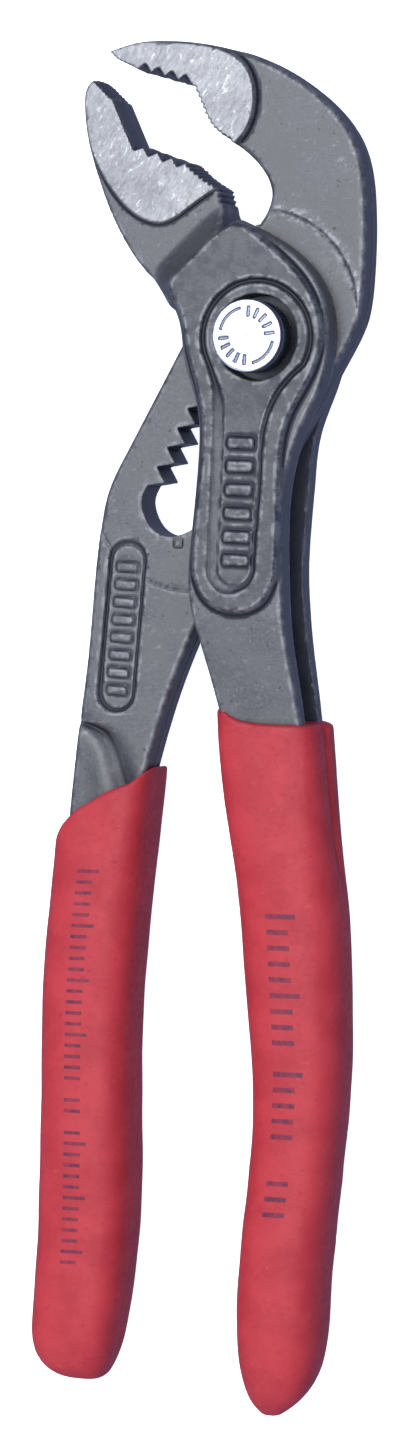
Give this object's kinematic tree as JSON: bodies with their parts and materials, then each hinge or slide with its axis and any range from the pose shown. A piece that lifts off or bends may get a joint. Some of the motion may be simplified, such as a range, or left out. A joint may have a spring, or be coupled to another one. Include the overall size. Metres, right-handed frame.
{
  "type": "tongue and groove pliers",
  "caption": "Adjustable tongue and groove pliers with a box joint, a toothed slot, a push-button lock bolt, hooked serrated jaws and dipped grips.",
  "frame": {"origin": "on the pivot axis, in the plane that the rear of the head rests on", "axes": "+Z along the pivot axis out of the button side, +Y along the tool towards the jaws, +X to the right, towards the handle of the box lever"},
  "size_m": [0.0388, 0.15, 0.0154],
  "materials": {
    "forged_steel": "dark phosphated forging, jaw sides ground bright",
    "grip": "dipped soft plastic with a fine orange-peel surface",
    "bolt_steel": "turned and hardened",
    "button_chrome": "bright plated",
    "spring_steel": "drawn wire and stamped strip"
  },
  "bodies": {
    "box_half": {"box_lever": "forged_steel", "box_lever_grip": "grip"},
    "spring_seat": {"spring_washer": "spring_steel", "button_spring": "spring_steel"},
    "tongue_half": {"tongue_lever": "forged_steel", "tongue_lever_grip": "grip"},
    "lock_bolt": {"hinge_bolt": "bolt_steel", "push_button": "button_chrome"}
  },
  "joints": [
    {"name": "jaw_pivot", "type": "hinge", "parent": "box_half", "child": "spring_seat", "pos_m": [0, 0, 0.00555], "axis": [0, 0, 1], "range_deg": [-36, 1]},
    {"name": "jaw_adjust", "type": "slide", "parent": "spring_seat", "child": "tongue_half", "axis": [0.4863, 0.8738, 0], "range_m": [-0.0024, 0.012]},
    {"name": "button_press", "type": "slide", "parent": "spring_seat", "child": "lock_bolt", "axis": [0, 0, -1], "range_m": [0, 0.002], "stiffness_N_per_m": 1500, "springref_m": -0.001, "deforming": ["button_spring"]}
  ]
}
